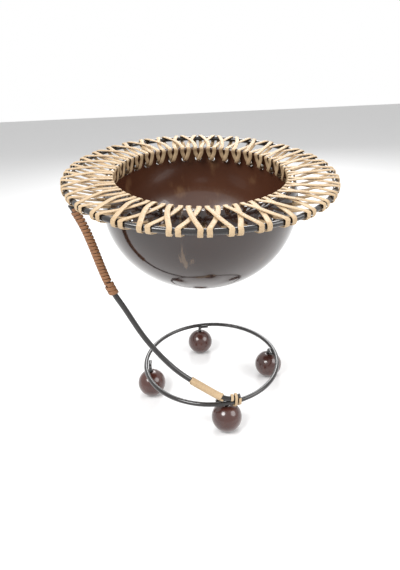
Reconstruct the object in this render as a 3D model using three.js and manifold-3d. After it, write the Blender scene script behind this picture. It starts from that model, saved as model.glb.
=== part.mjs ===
// Footed coconut bowl: a coconut half shell laced into a wire ring, carried by one
// bent leg on a smaller wire ring with four wooden ball feet.
// Millimetres, +Z up, origin on the floor under the middle of the big ring.
import * as THREE from 'three';
import Module from 'manifold-3d';
import { mergeVertices } from 'three/addons/utils/BufferGeometryUtils.js';

const wasm = await Module();
wasm.setup();

// Fit between pieces that touch on the real object
const fit = 0.3;

// The dish, which hangs a little crooked
const dishHeight = 180;
const dishTiltBack = 7.3;
const dishTiltSide = 2.2;

// Rim ring of round wire
const rimRingRadius = 88;
const rimWire = 3.4;

// Coconut half shell, an egg-shaped bowl cut above its widest level
const shellRadius = 67;
const shellWidestDepth = 20;
const shellDepthBelowWidest = 59;
const shellWall = 3.6;
const shellSegments = 36;
const shellProfileSteps = 10;

// Lacing of flat rattan strip through drilled holes
const lacingHoles = 36;
const lacingHoleDepth = 9;
const lacingHoleRadius = 2.6;
const laceWidth = 3;
const laceThickness = 0.6;
const laceHalfSpread = 2.4;
const laceLengths = 2;

// Base ring of round wire, set a little to the right of the dish
const baseRingRadius = 54.3;
const baseRingHeight = 26.4;
const baseRingShift = 2.8;
const baseWire = 3.4;

// Ball feet and the bent pins that hold them
const ballRadius = 11.2;
const ballFlatDepth = 0.5;
const pinRadius = 1.3;
const pinSink = 7;
const pinArm = 8;
const footAngles = { front: -80, right: 12, back: 100, left: 188 };

// Leg rod and its route, from under the rim ring to the top of the base ring
const legRadius = 1.9;
const legStartAngle = 207;
const legEndAngle = -70;
const legRoute = [
  [-71.5, -40.8, 156.7],
  [-62.8, -41.8, 121.3],
  [-53.8, -42.9, 101.3],
  [-41.2, -44.4, 76.1],
  [-23.4, -46.5, 52.7],
  [-2.7, -49.5, 36.8],
];

// How far the lacing dips toward the shell where the leg meets it
const laceDip = 1.6;

// Rattan bindings wound on the leg
const bindStripWidth = 1.7;
const bindStripThickness = 0.7;
const upperBinding = { from: 0.02, to: 0.29, turns: 22 };
const knotBinding = { from: 0.295, to: 0.335, turns: 2.5 };
const lowerBinding = { from: 0.79, to: 0.93, turns: 11 };
const junctionBinding = { from: 0.963, to: 0.995, turns: 2 };

const degree = Math.PI / 180;
const up = new THREE.Vector3(0, 0, 1);

function material(color, roughness, metalness = 0) {
  return new THREE.MeshStandardMaterial({ color, roughness, metalness });
}

function mesh(name, geometry, look) {
  const piece = new THREE.Mesh(geometry, look());
  piece.name = name;
  return piece;
}

const blackWire = () => material(0x0c0b0b, 0.2, 0.4);
const darkShell = () => material(0x24140f, 0.2);
const paleRattan = () => material(0xc9ad84, 0.6);
const brownRattan = () => material(0x8a5a34, 0.55);
const redWood = () => material(0x2e1411, 0.25);

// A closed body swept along frames; each frame has a place and two cross directions
function sweep(frames, section) {
  const sides = section.length;
  const positions = [];
  for (const { place, across, outward } of frames) {
    for (const [a, b] of section) {
      const point = place.clone().addScaledVector(across, a).addScaledVector(outward, b);
      positions.push(point.x, point.y, point.z);
    }
  }
  const index = [];
  for (let i = 0; i + 1 < frames.length; i += 1) {
    for (let j = 0; j < sides; j += 1) {
      const a = i * sides + j;
      const b = i * sides + ((j + 1) % sides);
      index.push(a, b, b + sides, a, b + sides, a + sides);
    }
  }
  const last = (frames.length - 1) * sides;
  for (let j = 1; j + 1 < sides; j += 1) {
    index.push(0, j + 1, j);
    index.push(last, last + j, last + j + 1);
  }
  const geometry = new THREE.BufferGeometry();
  geometry.setAttribute('position', new THREE.Float32BufferAttribute(positions, 3));
  geometry.setIndex(signedVolume(positions, index) < 0 ? index.reverse() : index);
  geometry.computeVertexNormals();
  return geometry;
}

function signedVolume(positions, index) {
  const corner = (i) => new THREE.Vector3().fromArray(positions, 3 * i);
  let sum = 0;
  for (let i = 0; i < index.length; i += 3) {
    const [a, b, c] = [corner(index[i]), corner(index[i + 1]), corner(index[i + 2])];
    sum += a.dot(b.cross(c));
  }
  return sum / 6;
}

function roundSection(radius, sides) {
  return Array.from({ length: sides }, (_, i) => {
    const angle = (2 * Math.PI * i) / sides;
    return [radius * Math.cos(angle), radius * Math.sin(angle)];
  });
}

function flatSection(width, thickness) {
  const [a, b] = [width / 2, thickness / 2];
  return [[-a, -b], [a, -b], [a, b], [-a, b]];
}

// A round rod along a curve
function rod(curve, steps, radius, sides) {
  const { normals, binormals } = curve.computeFrenetFrames(steps, false);
  const frames = normals.map((normal, i) => (
    { place: curve.getPointAt(i / steps), across: normal, outward: binormals[i] }
  ));
  return sweep(frames, roundSection(radius, sides));
}

// The least distance between points of a winding that lie more than one turn part apart
function leastGap(points, skip, thickness) {
  let least = Infinity;
  for (let i = 0; i < points.length; i += 1) {
    for (let j = i + skip; j < points.length; j += 1) {
      least = Math.min(least, points[i].distanceTo(points[j]));
    }
  }
  return least - thickness;
}

// Joins and cuts of closed bodies
function solid(geometry) {
  const bare = geometry.clone();
  bare.deleteAttribute('normal');
  bare.deleteAttribute('uv');
  const merged = mergeVertices(bare, 1e-4);
  return new wasm.Manifold(new wasm.Mesh({
    numProp: 3,
    vertProperties: new Float32Array(merged.attributes.position.array),
    triVerts: new Uint32Array(merged.index.array),
  }));
}

function geometryOf(body) {
  const { vertProperties, triVerts } = body.getMesh();
  const geometry = new THREE.BufferGeometry();
  geometry.setAttribute('position', new THREE.Float32BufferAttribute(vertProperties, 3));
  geometry.setIndex(Array.from(triVerts));
  geometry.computeVertexNormals();
  return geometry;
}

// Shell radius at a depth under the rim, outside or, with the wall taken off, inside
function shellRadiusAt(depth, wall = 0) {
  const share = (depth - shellWidestDepth) / (shellDepthBelowWidest - wall);
  return (shellRadius - wall) * Math.sqrt(Math.max(0, 1 - share * share));
}

function shellProfile() {
  const points = [];
  const rimShare = Math.asin(shellWidestDepth / shellDepthBelowWidest);
  const wallShare = Math.asin(shellWidestDepth / (shellDepthBelowWidest - shellWall));
  for (let i = 0; i <= shellProfileSteps; i += 1) {
    const angle = Math.PI / 2 - (i / shellProfileSteps) * (Math.PI / 2 + rimShare);
    points.push([shellRadius * Math.cos(angle), -shellWidestDepth - shellDepthBelowWidest * Math.sin(angle)]);
  }
  for (let i = shellProfileSteps; i >= 0; i -= 1) {
    const angle = Math.PI / 2 - (i / shellProfileSteps) * (Math.PI / 2 + wallShare);
    const depth = (shellDepthBelowWidest - shellWall) * Math.sin(angle);
    points.push([(shellRadius - shellWall) * Math.cos(angle), -shellWidestDepth - depth]);
  }
  points[0][0] = 0;
  points[points.length - 1][0] = 0;
  return points.map(([r, z]) => new THREE.Vector2(r, z));
}

function coconutShell() {
  const lathe = new THREE.LatheGeometry(shellProfile(), shellSegments);
  lathe.rotateX(Math.PI / 2);
  let body = solid(lathe);
  if (body.volume() < 0) {
    throw new Error('shell profile runs the wrong way');
  }
  const reach = shellWall * 4;
  for (let i = 0; i < lacingHoles; i += 1) {
    const angle = (i / lacingHoles) * 2 * Math.PI;
    const drill = new THREE.CylinderGeometry(lacingHoleRadius, lacingHoleRadius, reach, 6);
    drill.rotateZ(Math.PI / 2);
    drill.translate(shellRadiusAt(lacingHoleDepth) - shellWall / 2, 0, -lacingHoleDepth);
    drill.rotateZ(angle);
    body = body.subtract(solid(drill));
  }
  return geometryOf(body);
}

// One pass of lacing in the plane of a hole: radius, height, turn share and sideways shift.
// A strip comes out of a hole, climbs the inner wall, crosses the web to the next place on
// the ring, goes round the wire and comes back beneath to that place's hole.
function lacePass(over) {
  const lift = fit + laceThickness / 2;
  const inner = shellRadiusAt(lacingHoleDepth, shellWall);
  const outer = shellRadiusAt(lacingHoleDepth);
  const rimInner = shellRadiusAt(0, shellWall);
  const rimMiddle = (rimInner + shellRadiusAt(0)) / 2;
  const webWidth = rimRingRadius - rimMiddle;
  const wireLift = rimWire / 2 + lift;
  const stack = over ? 0.5 : -0.5;
  const layer = over ? 0 : 1.1;
  return [
    { r: inner - 1.5 - layer, z: -lacingHoleDepth + stack, turn: 0, shift: 0 },
    { r: inner - 2.9 - layer * 0.7, z: -lacingHoleDepth / 3, turn: 0, shift: laceHalfSpread },
    { r: rimInner - 1.05, z: lift, turn: 0, shift: laceHalfSpread },
    { r: rimMiddle, z: lift + (over ? 0.65 : 0.2), turn: 0, shift: laceHalfSpread },
    { r: rimMiddle + webWidth / 3, z: lift + (over ? 2 : 0.6), turn: 1 / 3, shift: laceHalfSpread / 3 },
    { r: rimMiddle + webWidth * 2 / 3, z: wireLift + (over ? 0.3 : -0.6), turn: 2 / 3, shift: -laceHalfSpread / 3 },
    { r: rimRingRadius + 0.4 * wireLift, z: wireLift, turn: 1, shift: -laceHalfSpread },
    { r: rimRingRadius + wireLift, z: 0.4 * wireLift, turn: 1, shift: -laceHalfSpread },
    { r: rimRingRadius + wireLift, z: -0.4 * wireLift, turn: 1, shift: -laceHalfSpread },
    { r: rimRingRadius + 0.4 * wireLift, z: -wireLift, turn: 1, shift: -laceHalfSpread },
    { r: rimRingRadius - 8, z: -wireLift - 2.6 + (over ? 0.5 : -0.7), turn: 1, shift: -laceHalfSpread },
    { r: outer + 1.1, z: -lacingHoleDepth + stack, turn: 1, shift: 0 },
  ];
}

function lacePoint({ r, z, turn, shift }, hole, hand) {
  const pitch = (2 * Math.PI) / lacingHoles;
  const angle = hand * ((hole + turn) * pitch + shift / r);
  return new THREE.Vector3(r * Math.cos(angle), r * Math.sin(angle), z);
}

// A length of lacing; its thickness points away from the inside of the loop
function laceLength(hand, firstHole, passes) {
  const pass = lacePass(hand > 0);
  const middleWall = shellRadiusAt(lacingHoleDepth) - shellWall / 2;
  const height = pass[0].z;
  const points = [lacePoint({ r: middleWall - 0.8, z: height, turn: 0, shift: 0 }, firstHole, hand)];
  for (let i = 0; i < passes; i += 1) {
    points.push(...pass.map((station) => lacePoint(station, firstHole + i, hand)));
  }
  points.push(lacePoint({ r: middleWall + 0.8, z: height, turn: 0, shift: 0 }, firstHole + passes, hand));
  const frames = points.map((place, i) => {
    const before = points[Math.max(0, i - 1)];
    const after = points[Math.min(points.length - 1, i + 1)];
    const into = place.clone().sub(before).normalize();
    const out = after.clone().sub(place).normalize();
    const along = into.clone().add(out).normalize();
    const radial = new THREE.Vector3(place.x, place.y, 0).normalize();
    const round = up.clone().cross(radial);
    const outward = along.clone().cross(round).normalize();
    const across = outward.clone().cross(along).normalize();
    const bend = i === 0 || i === points.length - 1 ? 1 : Math.max(0.7, along.dot(out));
    return { place, across, outward: outward.multiplyScalar(1 / bend) };
  });
  console.log('lacing least gap', leastGap(points, pass.length - 2, laceWidth / 2).toFixed(2));
  return sweep(frames, flatSection(laceWidth, laceThickness));
}

// Leg rod from just under the rim ring to just over the base ring
function dishPlace(radius, angle, z) {
  const point = new THREE.Vector3(radius * Math.cos(angle), radius * Math.sin(angle), z);
  return point.applyEuler(new THREE.Euler(dishTiltBack * degree, dishTiltSide * degree, 0))
    .add(new THREE.Vector3(0, 0, dishHeight));
}

function basePlace(radius, angle, z) {
  return new THREE.Vector3(baseRingShift + radius * Math.cos(angle), radius * Math.sin(angle), z);
}

function legCurve() {
  const start = dishPlace(rimRingRadius, legStartAngle * degree, 0);
  start.z -= rimWire / 2 + 2 * fit + laceThickness + laceDip;
  const restHeight = baseRingHeight + baseWire / 2 + legRadius + fit;
  const nearEnd = basePlace(baseRingRadius, (legEndAngle - 11) * degree, restHeight + 0.5);
  const end = basePlace(baseRingRadius, legEndAngle * degree, restHeight);
  const points = [start, ...legRoute.map((p) => new THREE.Vector3(...p)), nearEnd, end];
  return new THREE.CatmullRomCurve3(points, false, 'centripetal');
}

// A strip wound round the leg; extra reach below lets it take in the base ring as well
function binding(curve, { from, to, turns }, stepsPerTurn, below = 0) {
  const count = Math.round(turns * stepsPerTurn);
  const flatOf = Math.cos(Math.PI / stepsPerTurn);
  const offset = (legRadius + fit / 2 + bindStripThickness / 2) / flatOf + (below > 0 ? fit : 0);
  const frames = [];
  for (let i = 0; i <= count; i += 1) {
    const share = from + ((to - from) * i) / count;
    const along = curve.getTangentAt(share);
    const side = along.clone().cross(up).normalize();
    const top = side.clone().cross(along).normalize();
    const angle = (2 * Math.PI * i) / stepsPerTurn;
    const [c, s] = [Math.cos(angle), Math.sin(angle)];
    const outward = side.clone().multiplyScalar(c).addScaledVector(top, s).normalize();
    const place = curve.getPointAt(share).addScaledVector(side, c * offset)
      .addScaledVector(top, s * offset - (s > -0.01 ? 0 : below));
    frames.push({ place, across: along, outward });
  }
  const points = frames.map((frame) => frame.place);
  console.log('binding least gap', leastGap(points, stepsPerTurn - 1, bindStripWidth).toFixed(2));
  return sweep(frames, flatSection(bindStripWidth, bindStripThickness));
}

// A wooden ball with a flat spot to stand on and a bore for its pin
function footBall() {
  const bore = pinRadius + fit;
  const profile = [new THREE.Vector2(0, -ballRadius + ballFlatDepth)];
  const lowest = Math.acos((ballRadius - ballFlatDepth) / ballRadius);
  const highest = Math.PI - Math.asin(bore / ballRadius);
  const steps = 9;
  for (let i = 0; i <= steps; i += 1) {
    const angle = lowest + ((highest - lowest) * i) / steps;
    profile.push(new THREE.Vector2(ballRadius * Math.sin(angle), -ballRadius * Math.cos(angle)));
  }
  const floor = ballRadius - pinSink - fit;
  profile.push(new THREE.Vector2(bore, floor), new THREE.Vector2(0, floor));
  const geometry = new THREE.LatheGeometry(profile, 16);
  geometry.rotateX(Math.PI / 2);
  return geometry;
}

// A bent pin: upright in the ball, then along the inner side of the base ring
function footPin(angle) {
  const radius = baseRingRadius - baseWire / 2 - fit - pinRadius;
  const foot = ballRadius * 2 - ballFlatDepth - pinSink;
  const turnAngle = pinArm / radius;
  const points = [
    basePlace(radius, angle, foot),
    basePlace(radius, angle, baseRingHeight - 2.5),
    basePlace(radius, angle - 0.012, baseRingHeight - 0.7),
    basePlace(radius, angle - 0.045, baseRingHeight),
    basePlace(radius, angle - turnAngle / 2, baseRingHeight),
    basePlace(radius, angle - turnAngle, baseRingHeight),
  ];
  return rod(new THREE.CatmullRomCurve3(points, false, 'centripetal'), 10, pinRadius, 6);
}

const bowl = new THREE.Group();

const dish = new THREE.Group();
dish.position.z = dishHeight;
dish.rotation.set(dishTiltBack * degree, dishTiltSide * degree, 0);
bowl.add(dish);

const rimRing = new THREE.TorusGeometry(rimRingRadius, rimWire / 2, 8, 60);
dish.add(mesh('rim_ring', rimRing, blackWire));
dish.add(mesh('coconut_shell', coconutShell(), darkShell));

const passesPerLength = lacingHoles / laceLengths;
for (const [family, hand] of [['over', 1], ['under', -1]]) {
  for (let i = 0; i < laceLengths; i += 1) {
    const geometry = laceLength(hand, i * passesPerLength, passesPerLength);
    dish.add(mesh(`lacing_${family}_${i + 1}`, geometry, paleRattan));
  }
}

const baseRing = new THREE.TorusGeometry(baseRingRadius, baseWire / 2, 8, 48);
const baseRingMesh = mesh('base_ring', baseRing, blackWire);
baseRingMesh.position.set(baseRingShift, 0, baseRingHeight);
bowl.add(baseRingMesh);

const leg = legCurve();
bowl.add(mesh('leg_rod', rod(leg, 28, legRadius, 8), blackWire));
bowl.add(mesh('upper_leg_binding', binding(leg, upperBinding, 6), brownRattan));
bowl.add(mesh('upper_binding_knot', binding(leg, knotBinding, 8), brownRattan));
bowl.add(mesh('lower_leg_binding', binding(leg, lowerBinding, 6), paleRattan));
const aroundBoth = baseWire + 2 * fit;
bowl.add(mesh('junction_binding', binding(leg, junctionBinding, 12, aroundBoth), paleRattan));

for (const [where, angle] of Object.entries(footAngles)) {
  const ball = mesh(`foot_ball_${where}`, footBall(), redWood);
  const pinCircle = baseRingRadius - baseWire / 2 - fit - pinRadius;
  ball.position.copy(basePlace(pinCircle, angle * degree, ballRadius - ballFlatDepth));
  bowl.add(ball);
  bowl.add(mesh(`foot_pin_${where}`, footPin(angle * degree), blackWire));
}

export default bowl;
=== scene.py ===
# %% [markdown]
# A footed coconut bowl: a polished coconut half shell laced into a wire ring with flat rattan
# strip, standing on one bent leg, a smaller ring and four wooden ball feet. The solids of the
# frame carry the sizes and the places, but they are faceted. This script makes a finer mesh of
# the same size for each one and gives it its finish.

# %% Load the frame
import math
import bmesh
import bpy
from mathutils import Matrix, Vector


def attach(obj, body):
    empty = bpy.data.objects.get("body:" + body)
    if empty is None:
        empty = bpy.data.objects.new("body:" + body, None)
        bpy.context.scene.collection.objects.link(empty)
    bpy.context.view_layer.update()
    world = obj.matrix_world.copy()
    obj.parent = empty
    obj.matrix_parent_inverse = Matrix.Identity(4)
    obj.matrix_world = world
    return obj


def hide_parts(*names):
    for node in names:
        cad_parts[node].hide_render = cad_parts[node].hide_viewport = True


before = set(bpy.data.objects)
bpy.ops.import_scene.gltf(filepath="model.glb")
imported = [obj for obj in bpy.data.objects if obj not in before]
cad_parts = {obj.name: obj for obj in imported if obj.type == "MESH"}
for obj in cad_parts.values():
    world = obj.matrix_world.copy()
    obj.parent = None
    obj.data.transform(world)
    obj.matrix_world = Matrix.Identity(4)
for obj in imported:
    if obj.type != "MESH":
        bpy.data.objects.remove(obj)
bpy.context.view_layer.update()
MM = 0.001

# %% [markdown]
# The camera stands close and a little above the rim, so the big ring is seen flat and the small
# ring more open. One could turn a camera by hand until it looks right. Here its place, pitch and
# roll are numbers, worked out from how open the two rings look and how large the balls are.

# %% Camera
CAMERA_PLACE = Vector((-3.7, -284.5, 238.0)) * MM
CAMERA_PITCH = math.radians(26.54)
CAMERA_ROLL = math.radians(2.68)
FOCAL_PIXELS = 416.9
IMAGE_WIDTH = 400
NEAREST_SEEN = 0.01


def make_camera():
    forward = Vector((0, math.cos(CAMERA_PITCH), -math.sin(CAMERA_PITCH)))
    right = Vector((1, 0, 0))
    down = forward.cross(right)
    turned_right = right * math.cos(CAMERA_ROLL) + down * math.sin(CAMERA_ROLL)
    turned_up = right * math.sin(CAMERA_ROLL) - down * math.cos(CAMERA_ROLL)
    data = bpy.data.cameras.new("camera")
    data.sensor_fit = "HORIZONTAL"
    data.lens = FOCAL_PIXELS / IMAGE_WIDTH * data.sensor_width
    data.clip_start = NEAREST_SEEN
    camera = bpy.data.objects.new("camera", data)
    bpy.context.scene.collection.objects.link(camera)
    turn = Matrix((turned_right, turned_up, -forward)).transposed().to_4x4()
    camera.matrix_world = Matrix.Translation(CAMERA_PLACE) @ turn
    bpy.context.scene.camera = camera


make_camera()
bpy.context.scene.view_settings.view_transform = "Standard"
print("lens", round(bpy.context.scene.camera.data.lens, 2), "mm")

# %% [markdown]
# Shader maths reads best as plain expressions. A small class wraps a socket and turns + and *
# into Math nodes, also with a plain number on the left. One method makes any other node.

# %% Helper for shader maths
class Value:
    def __init__(self, look, socket):
        self.look = look
        self.socket = socket

    def math(self, operation, other):
        return self.look.node("ShaderNodeMath", {"operation": operation}, {0: self, 1: other})

    def __add__(self, other):
        return self.math("ADD", other)

    def __mul__(self, other):
        return self.math("MULTIPLY", other)

    __radd__ = __add__
    __rmul__ = __mul__


# %% [markdown]
# A finish is one material with one Principled shader. This class makes the nodes that every
# finish here shares: noise in the object's own space, a mix of two colours, a soft step, and a
# bump. The noise reads Object coordinates, so the pattern stays with the piece.

# %% Helper for finishes
MIX_FACTOR, MIX_FIRST, MIX_SECOND, MIX_COLOUR = 0, 6, 7, 2


class Look:
    def __init__(self, name):
        self.material = bpy.data.materials.new(name)
        self.material.use_nodes = True
        self.tree = self.material.node_tree
        self.shader = self.tree.nodes["Principled BSDF"]

    def node(self, kind, settings, inputs, out=0):
        node = self.tree.nodes.new(kind)
        for key, value in settings.items():
            setattr(node, key, value)
        for key, value in inputs.items():
            if isinstance(value, Value):
                self.tree.links.new(value.socket, node.inputs[key])
            else:
                node.inputs[key].default_value = value
        return Value(self, node.outputs[out])

    def noise(self, scale, detail=4, stretch=(1, 1, 1)):
        coordinates = self.node("ShaderNodeTexCoord", {}, {}, out="Object")
        place = self.node("ShaderNodeMapping", {}, {"Vector": coordinates, "Scale": stretch})
        return self.node("ShaderNodeTexNoise", {}, {"Vector": place, "Scale": scale, "Detail": detail})

    def mix(self, factor, first, second):
        return self.node("ShaderNodeMix", {"data_type": "RGBA"}, {
            MIX_FACTOR: factor, MIX_FIRST: first, MIX_SECOND: second}, out=MIX_COLOUR)

    def step(self, value, low, high):
        return self.node("ShaderNodeMapRange", {"interpolation_type": "SMOOTHSTEP"}, {
            "Value": value, "From Min": low, "From Max": high})

    def attribute(self, name):
        return self.node("ShaderNodeAttribute", {"attribute_name": name}, {}, out="Fac")

    def feed(self, key, value):
        if isinstance(value, Value):
            self.tree.links.new(value.socket, self.shader.inputs[key])
        else:
            self.shader.inputs[key].default_value = value

    def bump(self, height, strength, distance):
        self.feed("Normal", self.node("ShaderNodeBump", {}, {
            "Height": height, "Strength": strength, "Distance": distance}))


def colour(red, green, blue):
    return (red, green, blue, 1)


# %% [markdown]
# The shell is lacquered outside, nearly black with a few pale streaks of husk. Inside it is a
# warmer brown with tan patches. Both could be two materials. One material with a mark on the
# mesh, 1 inside and 0 outside, keeps the rim where they meet clean.

# %% Finish of the shell
def shell_look():
    look = Look("lacquered_shell")
    inside = look.attribute("inside")
    cloud = look.noise(scale=28, detail=6)
    patch = look.step(look.noise(scale=60, detail=5, stretch=(1, 1, 0.5)), low=0.55, high=0.72)
    streak = look.step(look.noise(scale=140, detail=3, stretch=(1, 1, 0.06)), low=0.68, high=0.74)
    outer = look.mix(cloud, colour(0.012, 0.005, 0.004), colour(0.035, 0.014, 0.009))
    outer = look.mix(streak * 0.35, outer, colour(0.30, 0.20, 0.12))
    inner = look.mix(cloud, colour(0.045, 0.014, 0.008), colour(0.13, 0.05, 0.025))
    inner = look.mix(patch * 0.5, inner, colour(0.34, 0.19, 0.09))
    look.feed("Base Color", look.mix(inside, outer, inner))
    look.feed("Roughness", 0.09 + cloud * 0.1 + inside * 0.1)
    look.feed("Coat Weight", 0.6)
    look.feed("Coat Roughness", 0.05)
    look.bump(cloud, strength=0.12, distance=0.002)
    return look.material


SHELL = shell_look()
print("made", SHELL.name)

# %% [markdown]
# The wire is glossy black, with a fine grain that breaks its reflections. The balls are turned
# from dark reddish wood and polished: their noise is stretched upright, as the grain runs.

# %% Finishes of the wire and the balls
def wire_look():
    look = Look("black_wire")
    grain = look.noise(scale=300)
    look.feed("Base Color", look.mix(grain, colour(0.006, 0.005, 0.005), colour(0.018, 0.014, 0.013)))
    look.feed("Roughness", 0.14 + grain * 0.16)
    look.feed("Coat Weight", 0.4)
    look.bump(grain, strength=0.08, distance=0.0005)
    return look.material


def wood_look():
    look = Look("turned_wood")
    grain = look.noise(scale=90, detail=5, stretch=(1, 1, 0.2))
    look.feed("Base Color", look.mix(grain, colour(0.018, 0.006, 0.005), colour(0.10, 0.028, 0.018)))
    look.feed("Roughness", 0.16 + grain * 0.12)
    look.feed("Coat Weight", 0.5)
    look.bump(grain, strength=0.1, distance=0.001)
    return look.material


WIRE = wire_look()
WOOD = wood_look()
print("made", WIRE.name, "and", WOOD.name)

# %% [markdown]
# Split rattan is matt and fibrous. The lacing is pale straw and the upper binding a browner
# one, so one function makes both from three colours: light, dark and the flecks of fibre.

# %% Finishes of the rattan
def rattan_look(name, light, dark, fleck):
    look = Look(name)
    wide = look.noise(scale=55)
    fibre = look.noise(scale=900, detail=3)
    tone = look.mix(wide, dark, light)
    flecks = look.step(fibre, low=0.52, high=0.75) * 0.5
    look.feed("Base Color", look.mix(flecks, tone, fleck))
    look.feed("Roughness", 0.42 + fibre * 0.25)
    look.bump(fibre, strength=0.35, distance=0.0006)
    return look.material


PALE = rattan_look("pale_rattan", light=colour(0.66, 0.50, 0.31), dark=colour(0.42, 0.28, 0.15),
                   fleck=colour(0.25, 0.14, 0.07))
BROWN = rattan_look("brown_rattan", light=colour(0.36, 0.17, 0.07), dark=colour(0.19, 0.08, 0.035),
                    fleck=colour(0.07, 0.03, 0.015))
print("made", PALE.name, "and", BROWN.name)

# %% [markdown]
# Every piece is a mesh in the frame's own place. One helper cleans a mesh, smooths it, rides it
# on the body and hides the solids it stands for. Turned pieces close on their axis, where many
# points fall together, so they are merged before the faces are turned outward.

# %% Helper for pieces
DOUBLES = 1e-7
POLE_DOUBLES = 1e-6


def close_poles(mesh):
    work = bmesh.new()
    work.from_mesh(mesh)
    bmesh.ops.remove_doubles(work, verts=work.verts, dist=POLE_DOUBLES)
    bmesh.ops.dissolve_degenerate(work, dist=POLE_DOUBLES, edges=work.edges)
    bmesh.ops.recalc_face_normals(work, faces=work.faces)
    work.to_mesh(mesh)
    work.free()
    return mesh


def piece(name, mesh, look, slot, *nodes):
    mesh.materials.append(look)
    work = bmesh.new()
    work.from_mesh(mesh)
    bmesh.ops.remove_doubles(work, verts=work.verts, dist=DOUBLES)
    bmesh.ops.recalc_face_normals(work, faces=work.faces)
    work.to_mesh(mesh)
    work.free()
    mesh.polygons.foreach_set("use_smooth", [True] * len(mesh.polygons))
    thing = bpy.data.objects.new(name, mesh)
    bpy.context.scene.collection.objects.link(thing)
    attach(thing, "root")
    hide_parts(*nodes)
    print(name, len(mesh.polygons), "faces")
    return thing


# %% [markdown]
# Wire, rod and strip are all one section carried along a path. A curve with a bevel would do for
# round wire, but a strip has to lie flat on what it wraps, so each frame of the path says which
# way is across and which is outward. The same function then serves every swept piece.

# %% Helper for swept pieces
def sweep(frames, section, closed=False):
    sides = len(section)
    rings = len(frames)
    points = [place + across * a + outward * b for place, across, outward in frames for a, b in section]
    faces = []
    for i in range(rings if closed else rings - 1):
        this = i * sides
        following = (i + 1) % rings * sides
        for j in range(sides):
            k = (j + 1) % sides
            faces.append((this + j, this + k, following + k, following + j))
    if not closed:
        faces.append(tuple(range(sides - 1, -1, -1)))
        faces.append(tuple(range((rings - 1) * sides, rings * sides)))
    mesh = bpy.data.meshes.new("swept")
    mesh.from_pydata([point * MM for point in points], [], faces)
    return mesh


def round_section(radius, sides):
    corners = [2 * math.pi * i / sides for i in range(sides)]
    return [(radius * math.cos(a), radius * math.sin(a)) for a in corners]


# %% [markdown]
# A split strip is flat below and slightly crowned, with soft edges. Powers below one push a
# circle out toward a box and leave its corners round. The paths run through a few stations, and
# a Catmull-Rom curve fills in between them.

# %% Section of a strip and smooth paths
EDGE_FULLNESS = 0.45
CROWN_FULLNESS = 0.7
STRIP_SIDES = 10


def strip_section(width, thickness):
    section = []
    for i in range(STRIP_SIDES):
        a = 2 * math.pi * (i + 0.5) / STRIP_SIDES
        c, s = math.cos(a), math.sin(a)
        section.append((width / 2 * math.copysign(abs(c) ** EDGE_FULLNESS, c),
                        thickness / 2 * math.copysign(abs(s) ** CROWN_FULLNESS, s)))
    return section


def smooth_path(points, steps):
    path = []
    for i in range(len(points) - 1):
        a = points[max(0, i - 1)]
        b, c = points[i], points[i + 1]
        d = points[min(len(points) - 1, i + 2)]
        for j in range(steps):
            t = j / steps
            path.append(0.5 * ((2 * b) + (c - a) * t + (2 * a - 5 * b + 4 * c - d) * t * t
                               + (3 * b - a - 3 * c + d) * t ** 3))
    return path + [points[-1]]


def direction(path, i):
    return (path[min(len(path) - 1, i + 1)] - path[max(0, i - 1)]).normalized()


# %% [markdown]
# The dish is the shell with its ring and lacing. It hangs a little crooked on the leg, so its
# pieces are worked out level, around the rim's middle, and one function turns and lifts a point
# to its place. The base ring sits a little to the right of it.

# %% Sizes in millimetres and the two places they are worked out in
FIT = 0.3
DISH_HEIGHT = 180
DISH_TURN = Matrix.Rotation(math.radians(7.3), 3, "X") @ Matrix.Rotation(math.radians(2.2), 3, "Y")
RIM_RADIUS = 88
WIRE_RADIUS = 1.7
BASE_RADIUS = 54.3
BASE_HEIGHT = 26.4
BASE_SHIFT = 2.8


def dish(point):
    return DISH_TURN @ Vector(point) + Vector((0, 0, DISH_HEIGHT))


def on_floor(point):
    return Vector(point) + Vector((BASE_SHIFT, 0, BASE_HEIGHT))


def base(radius, angle, z):
    return Vector((BASE_SHIFT + radius * math.cos(angle), radius * math.sin(angle), z))


print("dish at", DISH_HEIGHT, "mm, base ring at", BASE_HEIGHT, "mm")

# %% [markdown]
# Both rings are round wire bent to a circle. A torus primitive would do as well. The sweep is
# used because it takes the dish's turn in the same way as the other pieces do.

# %% Rim ring and base ring
RING_STEPS = 160
WIRE_SIDES = 20


def ring_mesh(radius, put):
    frames = []
    for i in range(RING_STEPS):
        a = 2 * math.pi * i / RING_STEPS
        centre = put((radius * math.cos(a), radius * math.sin(a), 0))
        outward = put(((radius + 1) * math.cos(a), (radius + 1) * math.sin(a), 0)) - centre
        upward = put((radius * math.cos(a), radius * math.sin(a), 1)) - centre
        frames.append((centre, outward, upward))
    return sweep(frames, round_section(WIRE_RADIUS, WIRE_SIDES), closed=True)


piece("rim_ring_round", ring_mesh(RIM_RADIUS, dish), WIRE, "wire", "rim_ring")
piece("base_ring_round", ring_mesh(BASE_RADIUS, on_floor), WIRE, "wire", "base_ring")

# %% [markdown]
# The shell is a coconut sawn above its widest level, so its rim draws in a little. Its outline
# is part of an ellipse outside and a smaller one inside, turned round the upright axis.

# %% Blank of the shell
SHELL_RADIUS = 67
SHELL_WIDEST = 20
SHELL_BELOW = 59
SHELL_WALL = 3.6
SHELL_SEGMENTS = 144
SHELL_STEPS = 44


def shell_radius(depth, wall=0):
    share = (depth - SHELL_WIDEST) / (SHELL_BELOW - wall)
    return (SHELL_RADIUS - wall) * math.sqrt(max(0, 1 - share * share))


def shell_skin(wall):
    rim = math.asin(SHELL_WIDEST / (SHELL_BELOW - wall))
    skin = []
    for i in range(SHELL_STEPS + 1):
        a = math.pi / 2 - i / SHELL_STEPS * (math.pi / 2 + rim)
        skin.append(((SHELL_RADIUS - wall) * math.cos(a), -SHELL_WIDEST - (SHELL_BELOW - wall) * math.sin(a)))
    return skin


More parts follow.
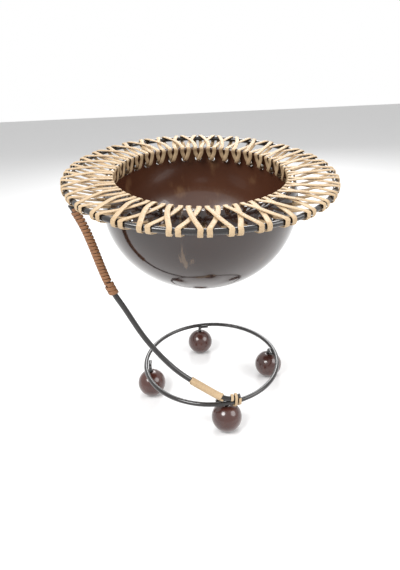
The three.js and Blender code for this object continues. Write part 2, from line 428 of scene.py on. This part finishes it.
def turned_mesh(name, profile, segments, put):
    count = len(profile)
    points = []
    faces = []
    for i in range(segments):
        a = 2 * math.pi * i / segments
        this = i * count
        following = (i + 1) % segments * count
        points += [put((r * math.cos(a), r * math.sin(a), z)) * MM for r, z in profile]
        for j in range(count - 1):
            faces.append((this + j, following + j, following + j + 1, this + j + 1))
    mesh = bpy.data.meshes.new(name)
    mesh.from_pydata(points, [], faces)
    return close_poles(mesh)


def shell_blank():
    profile = shell_skin(0) + shell_skin(SHELL_WALL)[::-1]
    return turned_mesh("shell", profile, SHELL_SEGMENTS, dish)


# %% [markdown]
# Thirty-six holes go through the wall in a row below the rim. They repeat round a circle, which
# is work for Geometry Nodes: one cylinder is put on each point of a circle and turned to point
# outward. Its inputs are the number of holes, their size and their depth below the rim.

# %% Geometry Nodes tree for the drills
HOLES = 36
HOLE_DEPTH = 9
HOLE_RADIUS = 2.6
DRILL_SIDES = 20
DRILL_REACH = 12


def drill_tree():
    tree = bpy.data.node_groups.new("lacing_drills", "GeometryNodeTree")
    tree.interface.new_socket(name="Drills", in_out="OUTPUT", socket_type="NodeSocketGeometry")
    tree.interface.new_socket(name="Holes", in_out="INPUT", socket_type="NodeSocketInt")
    for size in ("Circle", "Hole Radius", "Reach", "Depth"):
        tree.interface.new_socket(name=size, in_out="INPUT", socket_type="NodeSocketFloat")
    entry = tree.nodes.new("NodeGroupInput")
    result = tree.nodes.new("NodeGroupOutput")
    circle = tree.nodes.new("GeometryNodeMeshCircle")
    drill = tree.nodes.new("GeometryNodeMeshCylinder")
    drill.inputs["Vertices"].default_value = DRILL_SIDES
    place = tree.nodes.new("GeometryNodeInputPosition")
    turn = tree.nodes.new("FunctionNodeAlignRotationToVector")
    turn.axis = "Z"
    copies = tree.nodes.new("GeometryNodeInstanceOnPoints")
    real = tree.nodes.new("GeometryNodeRealizeInstances")
    drop = tree.nodes.new("ShaderNodeCombineXYZ")
    down = tree.nodes.new("ShaderNodeMath")
    down.operation = "MULTIPLY"
    down.inputs[1].default_value = -1
    lower = tree.nodes.new("GeometryNodeTransform")
    finish = tree.nodes.new("GeometryNodeSetMaterial")
    finish.inputs["Material"].default_value = SHELL
    for start, end in (
            (entry.outputs["Holes"], circle.inputs["Vertices"]),
            (entry.outputs["Circle"], circle.inputs["Radius"]),
            (entry.outputs["Hole Radius"], drill.inputs["Radius"]),
            (entry.outputs["Reach"], drill.inputs["Depth"]),
            (entry.outputs["Depth"], down.inputs[0]),
            (down.outputs[0], drop.inputs["Z"]),
            (place.outputs["Position"], turn.inputs["Vector"]),
            (circle.outputs["Mesh"], copies.inputs["Points"]),
            (drill.outputs["Mesh"], copies.inputs["Instance"]),
            (turn.outputs["Rotation"], copies.inputs["Rotation"]),
            (copies.outputs["Instances"], lower.inputs["Geometry"]),
            (drop.outputs["Vector"], lower.inputs["Translation"]),
            (lower.outputs["Geometry"], real.inputs["Geometry"]),
            (real.outputs["Geometry"], finish.inputs["Geometry"]),
            (finish.outputs["Geometry"], result.inputs["Drills"])):
        tree.links.new(start, end)
    return tree


# %% [markdown]
# A modifier's inputs are set by their identifier before the first evaluation. The evaluated
# object is then turned into a plain mesh, which the boolean takes as its cutter. After the cut
# each point of the shell is marked as inside or outside for the finish.

# %% Drilled shell
def evaluated_mesh(thing):
    bpy.context.view_layer.update()
    return bpy.data.meshes.new_from_object(thing.evaluated_get(bpy.context.evaluated_depsgraph_get()))


def temporary(name, mesh):
    thing = bpy.data.objects.new(name, mesh)
    bpy.context.scene.collection.objects.link(thing)
    return thing


def drill_mesh():
    sizes = {
        "Holes": HOLES,
        "Circle": (shell_radius(HOLE_DEPTH) - SHELL_WALL / 2) * MM,
        "Hole Radius": HOLE_RADIUS * MM,
        "Reach": DRILL_REACH * MM,
        "Depth": HOLE_DEPTH * MM,
    }
    maker = temporary("drill_maker", bpy.data.meshes.new("empty"))
    modifier = maker.modifiers.new("drills", "NODES")
    modifier.node_group = drill_tree()
    for socket in modifier.node_group.interface.items_tree:
        if socket.in_out == "INPUT":
            modifier[socket.identifier] = sizes[socket.name]
    mesh = evaluated_mesh(maker)
    bpy.data.objects.remove(maker)
    mesh.transform(Matrix.Translation((0, 0, DISH_HEIGHT * MM)) @ DISH_TURN.to_4x4())
    return mesh


def mark_inside(mesh):
    level = DISH_TURN.inverted()
    inside = mesh.attributes.new("inside", "FLOAT", "POINT")
    for vertex in mesh.vertices:
        spot = level @ (vertex.co / MM - Vector((0, 0, DISH_HEIGHT)))
        middle_of_wall = shell_radius(-spot.z, SHELL_WALL / 2)
        inside.data[vertex.index].value = 1.0 if math.hypot(spot.x, spot.y) < middle_of_wall else 0.0


def drilled_shell():
    blank = temporary("blank", shell_blank())
    drills = temporary("drills", drill_mesh())
    cut = blank.modifiers.new("cut", "BOOLEAN")
    cut.operation = "DIFFERENCE"
    cut.solver = "EXACT"
    cut.object = drills
    mesh = evaluated_mesh(blank)
    bpy.data.objects.remove(blank)
    bpy.data.objects.remove(drills)
    mesh.materials.clear()
    mark_inside(mesh)
    return mesh


piece("coconut_shell_round", drilled_shell(), SHELL, "shell", "coconut_shell")

# %% [markdown]
# The lacing is one strip that goes round and round: out of a hole, up the inner wall, over the
# rim, across to the ring, round the wire and back below to the next hole. Two families run in
# opposite hands, and one lies over the other where they cross. One pass is a list of stations:
# radius, height, share of a pitch and a step sideways.

# %% Stations of one pass of lacing
LACE_WIDTH = 3
LACE_THICKNESS = 0.7
LACE_SPREAD = 2.4
MOUTH_INSET = 1.5
WALL_INSET = 2.9
WALL_LAYER_SHARE = 0.7
RIM_INSET = 1.05
MOUTH_OUTSET = 1.1
WRAP_CORNER = 0.4
BELOW_RUN = 8
BELOW_SAG = 2.6
OVER = {"stack": 0.5, "layer": 0, "rim": 0.65, "third": 2, "far": 0.3, "below": 0.5}
UNDER = {"stack": -0.5, "layer": 1.1, "rim": 0.2, "third": 0.6, "far": -0.6, "below": -0.7}


def lace_pass(family):
    lift = FIT + LACE_THICKNESS / 2
    inner = shell_radius(HOLE_DEPTH, SHELL_WALL)
    outer = shell_radius(HOLE_DEPTH)
    rim_inner = shell_radius(0, SHELL_WALL)
    rim = (rim_inner + shell_radius(0)) / 2
    web = RIM_RADIUS - rim
    wrap = WIRE_RADIUS + lift
    corner = WRAP_CORNER * wrap
    height = -HOLE_DEPTH + family["stack"]
    layer = family["layer"]
    return [
        (inner - MOUTH_INSET - layer, height, 0, 0),
        (inner - WALL_INSET - layer * WALL_LAYER_SHARE, -HOLE_DEPTH / 3, 0, LACE_SPREAD),
        (rim_inner - RIM_INSET, lift, 0, LACE_SPREAD),
        (rim, lift + family["rim"], 0, LACE_SPREAD),
        (rim + web / 3, lift + family["third"], 1 / 3, LACE_SPREAD / 3),
        (rim + web * 2 / 3, wrap + family["far"], 2 / 3, -LACE_SPREAD / 3),
        (RIM_RADIUS + corner, wrap, 1, -LACE_SPREAD),
        (RIM_RADIUS + wrap, corner, 1, -LACE_SPREAD),
        (RIM_RADIUS + wrap, -corner, 1, -LACE_SPREAD),
        (RIM_RADIUS + corner, -wrap, 1, -LACE_SPREAD),
        (RIM_RADIUS - BELOW_RUN, -wrap - BELOW_SAG + family["below"], 1, -LACE_SPREAD),
        (outer + MOUTH_OUTSET, height, 1, 0),
    ]


# %% [markdown]
# The stations are repeated hole by hole, smoothed, and swept with the strip's section. The
# strip's width lies round the dish, so its flat side follows the rim, the web and the wire.

# %% Lacing
LENGTHS = 2
LACE_STEPS = 4
LACE_END_INSET = 0.8


def lace_point(station, hole, hand):
    r, z, turn, shift = station
    a = hand * ((hole + turn) * 2 * math.pi / HOLES + shift / r)
    return Vector((r * math.cos(a), r * math.sin(a), z))


def lace_mesh(family, hand, first, passes):
    stations = lace_pass(family)
    wall = shell_radius(HOLE_DEPTH) - SHELL_WALL / 2
    height = stations[0][1]
    points = [lace_point((wall - LACE_END_INSET, height, 0, 0), first, hand)]
    for i in range(passes):
        points += [lace_point(station, first + i, hand) for station in stations]
    points.append(lace_point((wall + LACE_END_INSET, height, 0, 0), first + passes, hand))
    path = smooth_path(points, LACE_STEPS)
    frames = []
    for i, place in enumerate(path):
        along = direction(path, i)
        around = Vector((-place.y, place.x, 0)).normalized()
        outward = along.cross(around).normalized()
        across = outward.cross(along).normalized()
        frames.append((dish(place), DISH_TURN @ across, DISH_TURN @ outward))
    return sweep(frames, strip_section(LACE_WIDTH, LACE_THICKNESS))


for name, family, hand in (("over", OVER, 1), ("under", UNDER, -1)):
    for i in range(LENGTHS):
        node = f"lacing_{name}_{i + 1}"
        strip = lace_mesh(family, hand, i * HOLES // LENGTHS, HOLES // LENGTHS)
        piece(node + "_strip", strip, PALE, "pale_rattan", node)

# %% [markdown]
# The leg is one bent rod, from under the rim ring to the top of the base ring. Its route is a
# smooth curve through a few chosen points. A bend drawn by arcs would look stiffer than the
# hand-bent rod of the real bowl.

# %% Route of the leg
LEG_RADIUS = 1.9
LEG_START = math.radians(207)
LEG_END = math.radians(-70)
LEG_LEAD_IN = math.radians(11)
LEG_LEAD_RISE = 0.5
LEG_STEPS = 24
CAD_LACE_THICKNESS = 0.6
LACE_DIP = 1.6
LEG_ROUTE = [(-71.5, -40.8, 156.7), (-62.8, -41.8, 121.3), (-53.8, -42.9, 101.3),
             (-41.2, -44.4, 76.1), (-23.4, -46.5, 52.7), (-2.7, -49.5, 36.8)]


def leg_path():
    start = dish((RIM_RADIUS * math.cos(LEG_START), RIM_RADIUS * math.sin(LEG_START), 0))
    start.z -= WIRE_RADIUS + 2 * FIT + CAD_LACE_THICKNESS + LACE_DIP
    rest = BASE_HEIGHT + WIRE_RADIUS + LEG_RADIUS + FIT
    lead_in = base(BASE_RADIUS, LEG_END - LEG_LEAD_IN, rest + LEG_LEAD_RISE)
    end = base(BASE_RADIUS, LEG_END, rest)
    return smooth_path([start] + [Vector(point) for point in LEG_ROUTE] + [lead_in, end], LEG_STEPS)


LEG = leg_path()
LEG_LENGTHS = [0.0]
for a, b in zip(LEG, LEG[1:]):
    LEG_LENGTHS.append(LEG_LENGTHS[-1] + (b - a).length)
print("leg", round(LEG_LENGTHS[-1], 1), "mm long")

# %% [markdown]
# What is wound on the leg has to know where the leg is at any share of its length, and which
# way is across and on top of it there. The rod itself is swept through the same frames.

# %% Leg rod
LEG_RINGS = 150


def leg_frame(share):
    want = share * LEG_LENGTHS[-1]
    i = max(1, next((k for k, length in enumerate(LEG_LENGTHS) if length >= want), len(LEG) - 1))
    t = (want - LEG_LENGTHS[i - 1]) / (LEG_LENGTHS[i] - LEG_LENGTHS[i - 1])
    along = (LEG[i] - LEG[i - 1]).normalized()
    side = along.cross(Vector((0, 0, 1))).normalized()
    return LEG[i - 1].lerp(LEG[i], t), along, side, side.cross(along).normalized()


def leg_mesh():
    frames = []
    for i in range(LEG_RINGS + 1):
        place, along, side, top = leg_frame(i / LEG_RINGS)
        frames.append((place, side, top))
    return sweep(frames, round_section(LEG_RADIUS, WIRE_SIDES))


piece("leg_rod_round", leg_mesh(), WIRE, "wire", "leg_rod")

# %% [markdown]
# A binding is a strip wound round the rod. At the junction it takes in the base ring too, so the
# lower half of each turn drops by the thickness of that ring.

# %% Bindings
BIND_GAP = 0.1
STEPS_PER_TURN = 20
LEVEL = -0.01


def binding_mesh(start, end, turns, width, thickness, below=0):
    count = round(turns * STEPS_PER_TURN)
    offset = LEG_RADIUS + BIND_GAP + thickness / 2 + (FIT if below else 0)
    frames = []
    for i in range(count + 1):
        place, along, side, top = leg_frame(start + (end - start) * i / count)
        a = 2 * math.pi * i / STEPS_PER_TURN
        c, s = math.cos(a), math.sin(a)
        drop = below if s < LEVEL else 0
        spot = place + side * (c * offset) + top * (s * offset - drop)
        frames.append((spot, along, side * c + top * s))
    return sweep(frames, strip_section(width, thickness))


piece("upper_binding_strip", binding_mesh(0.02, 0.29, turns=22, width=2, thickness=0.8),
      BROWN, "brown_rattan", "upper_leg_binding")
piece("upper_knot_strip", binding_mesh(0.295, 0.335, turns=2.5, width=2.8, thickness=1.3),
      BROWN, "brown_rattan", "upper_binding_knot")
piece("lower_binding_strip", binding_mesh(0.79, 0.93, turns=14, width=2, thickness=0.8),
      PALE, "pale_rattan", "lower_leg_binding")
piece("junction_strip", binding_mesh(0.963, 0.995, turns=2, width=2, thickness=0.8,
                                     below=2 * WIRE_RADIUS + 2 * FIT),
      PALE, "pale_rattan", "junction_binding")

# %% [markdown]
# Each foot is a turned ball with a bore for its pin and a small flat to stand on. The pin stands
# in the ball and bends over to run along the inner side of the base ring.

# %% Ball feet
BALL_RADIUS = 11.2
BALL_FLAT = 0.5
BALL_SEGMENTS = 64
BALL_STEPS = 36
PIN_RADIUS = 1.3
PIN_SINK = 7
FEET = {"front": -80, "right": 12, "back": 100, "left": 188}
PIN_CIRCLE = BASE_RADIUS - WIRE_RADIUS - FIT - PIN_RADIUS


def ball_mesh(centre):
    bore = PIN_RADIUS + FIT
    lowest = math.acos((BALL_RADIUS - BALL_FLAT) / BALL_RADIUS)
    highest = math.pi - math.asin(bore / BALL_RADIUS)
    profile = [(0, -BALL_RADIUS + BALL_FLAT)]
    for i in range(BALL_STEPS + 1):
        a = lowest + (highest - lowest) * i / BALL_STEPS
        profile.append((BALL_RADIUS * math.sin(a), -BALL_RADIUS * math.cos(a)))
    bore_floor = BALL_RADIUS - PIN_SINK - FIT
    profile += [(bore, bore_floor), (0, bore_floor)]
    return turned_mesh("ball", profile, BALL_SEGMENTS, lambda point: centre + Vector(point))


# %% [markdown]
# The pin's route has two points close together at the bend, so the curve turns sharply there
# and runs straight before and after it, as bent wire does.

# %% Pins and the four feet
PIN_ARM = 8
PIN_STEPS = 6
PIN_SIDES = 16
BEND_START_DROP = 2.5
BEND_MIDDLE_DROP = 0.7
BEND_MIDDLE_ANGLE = 0.012
BEND_END_ANGLE = 0.045


def pin_mesh(angle):
    arm = PIN_ARM / PIN_CIRCLE
    route = [base(PIN_CIRCLE, angle, BALL_RADIUS * 2 - BALL_FLAT - PIN_SINK),
             base(PIN_CIRCLE, angle, BASE_HEIGHT - BEND_START_DROP),
             base(PIN_CIRCLE, angle - BEND_MIDDLE_ANGLE, BASE_HEIGHT - BEND_MIDDLE_DROP),
             base(PIN_CIRCLE, angle - BEND_END_ANGLE, BASE_HEIGHT),
             base(PIN_CIRCLE, angle - arm / 2, BASE_HEIGHT),
             base(PIN_CIRCLE, angle - arm, BASE_HEIGHT)]
    path = smooth_path(route, PIN_STEPS)
    radial = Vector((math.cos(angle), math.sin(angle), 0))
    frames = []
    for i, place in enumerate(path):
        along = direction(path, i)
        side = along.cross(radial).normalized()
        frames.append((place, side, side.cross(along).normalized()))
    return sweep(frames, round_section(PIN_RADIUS, PIN_SIDES))


for where, degrees in FEET.items():
    angle = math.radians(degrees)
    centre = base(PIN_CIRCLE, angle, BALL_RADIUS - BALL_FLAT)
    piece(f"foot_ball_{where}_turned", ball_mesh(centre), WOOD, "ball_wood", f"foot_ball_{where}")
    piece(f"foot_pin_{where}_bent", pin_mesh(angle), WIRE, "wire", f"foot_pin_{where}")

# %% [markdown]
# The floor is plain and pale. The world is white at full strength only to the camera and to
# reflections, so the gloss on the shell shows a bright room while the lamps stay at a plain
# level.

# %% Floor and world
FLOOR_REACH = 3.0
WORLD_LIGHT = 0.55
WHITE = 1.0


def make_floor():
    r = FLOOR_REACH
    mesh = bpy.data.meshes.new("floor")
    mesh.from_pydata([(-r, -r, 0), (r, -r, 0), (r, r, 0), (-r, r, 0)], [], [(0, 1, 2, 3)])
    look = Look("pale_floor")
    look.feed("Base Color", colour(0.9, 0.9, 0.9))
    look.feed("Roughness", 0.6)
    mesh.materials.append(look.material)
    temporary("floor", mesh)


def make_world():
    world = bpy.data.worlds.new("studio")
    bpy.context.scene.world = world
    world.use_nodes = True
    tree = world.node_tree
    background = tree.nodes["Background"]
    path = tree.nodes.new("ShaderNodeLightPath")
    seen = tree.nodes.new("ShaderNodeMath")
    seen.operation = "MAXIMUM"
    strength = tree.nodes.new("ShaderNodeMapRange")
    strength.inputs["To Min"].default_value = WORLD_LIGHT
    strength.inputs["To Max"].default_value = WHITE
    background.inputs["Color"].default_value = colour(1, 1, 1)
    tree.links.new(path.outputs["Is Camera Ray"], seen.inputs[0])
    tree.links.new(path.outputs["Is Glossy Ray"], seen.inputs[1])
    tree.links.new(seen.outputs[0], strength.inputs["Value"])
    tree.links.new(strength.outputs[0], background.inputs["Strength"])


make_floor()
make_world()
print("floor reaches", FLOOR_REACH, "m each way")

# %% [markdown]
# Three large round lamps light the bowl softly: a key from the front left, a fill from the right
# and one from behind that draws the edge of the ring.

# %% Lamps
def area_light(name, place, target, size, power):
    data = bpy.data.lights.new(name, "AREA")
    data.shape = "DISK"
    data.size = size
    data.energy = power
    lamp = bpy.data.objects.new(name, data)
    lamp.location = place
    lamp.rotation_euler = (Vector(target) - Vector(place)).to_track_quat("-Z", "Y").to_euler()
    bpy.context.scene.collection.objects.link(lamp)
    print(name, power, "W")


area_light("key", place=(-0.5, -0.5, 0.9), target=(0, 0, 0.1), size=0.5, power=9)
area_light("fill", place=(0.7, -0.3, 0.6), target=(0, 0, 0.1), size=0.6, power=4)
area_light("back", place=(0.1, 0.8, 0.7), target=(0, 0, 0.12), size=0.5, power=5)
